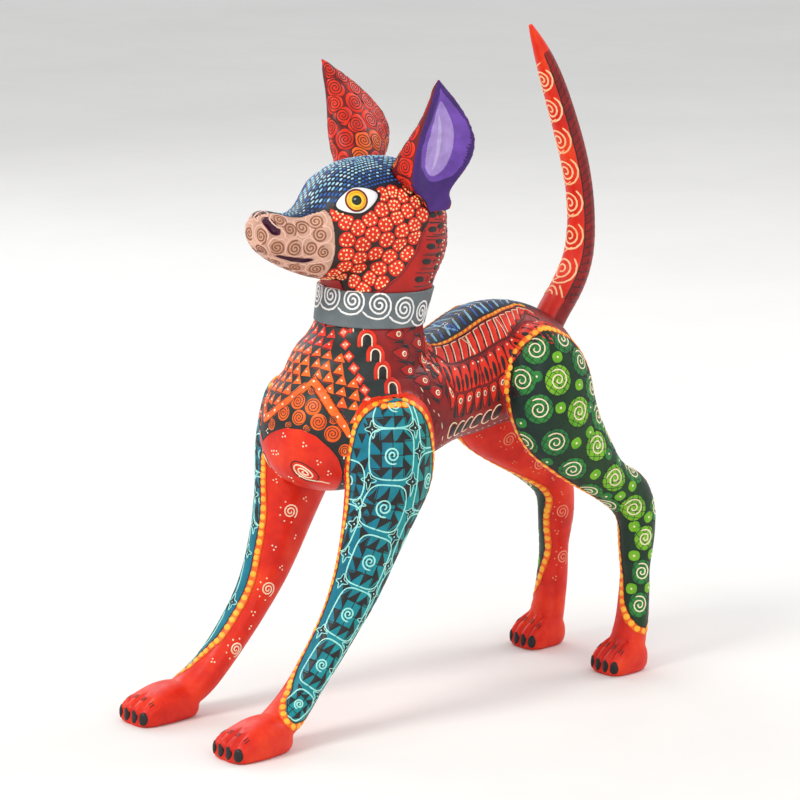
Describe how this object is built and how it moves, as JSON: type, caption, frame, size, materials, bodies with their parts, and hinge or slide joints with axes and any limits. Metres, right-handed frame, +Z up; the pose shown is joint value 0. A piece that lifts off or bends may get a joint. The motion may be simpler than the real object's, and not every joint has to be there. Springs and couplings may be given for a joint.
{
  "type": "carved wooden dog figure",
  "caption": "Slim carved wooden dog with front legs stretched forward, plug-in ears and tail, painted all over in fine folk pattern; a standing ornament.",
  "frame": {"origin": "on the floor, under the middle of the figure's bounding box", "axes": "+Z up, -Y towards the nose, +X towards the dog's left side"},
  "size_m": [0.0774, 0.1992, 0.2398],
  "materials": {
    "painted_body": "satin varnish over hand painting",
    "painted_head": "satin varnish over hand painting",
    "painted_collar": "satin varnish over hand painting",
    "painted_ears": "satin varnish over hand painting",
    "painted_tail": "satin varnish over hand painting",
    "painted_legs": "satin varnish over hand painting",
    "bare_wood": "bare whittled wood"
  },
  "bodies": {
    "dog": {"torso": "painted_body", "head": "painted_head", "collar": "painted_collar", "neck_dowel": "bare_wood", "front_left_leg": "painted_legs", "front_right_leg": "painted_legs", "rear_left_leg": "painted_legs", "rear_right_leg": "painted_legs", "front_left_dowel": "bare_wood", "front_right_dowel": "bare_wood", "rear_left_dowel": "bare_wood", "rear_right_dowel": "bare_wood"},
    "left_ear": {"left_ear": "painted_ears", "left_ear_peg": "bare_wood"},
    "right_ear": {"right_ear": "painted_ears", "right_ear_peg": "bare_wood"},
    "tail_peg": {"tail_peg": "bare_wood"},
    "tail": {"tail": "painted_tail"}
  },
  "joints": [
    {"name": "left_ear_pull", "type": "slide", "parent": "dog", "child": "left_ear", "axis": [0.179, -0.159, 0.9709], "range_m": [0, 0.016]},
    {"name": "right_ear_pull", "type": "slide", "parent": "dog", "child": "right_ear", "axis": [-0.2018, -0.2911, 0.9352], "range_m": [0, 0.016]},
    {"name": "tail_turn", "type": "hinge", "parent": "dog", "child": "tail_peg", "pos_m": [0, 0.0677, 0.1293], "axis": [0, 0.5664, 0.8241], "range_deg": [-25, 25]},
    {"name": "tail_pull", "type": "slide", "parent": "tail_peg", "child": "tail", "axis": [0, 0.5664, 0.8241], "range_m": [0, 0.012]}
  ]
}
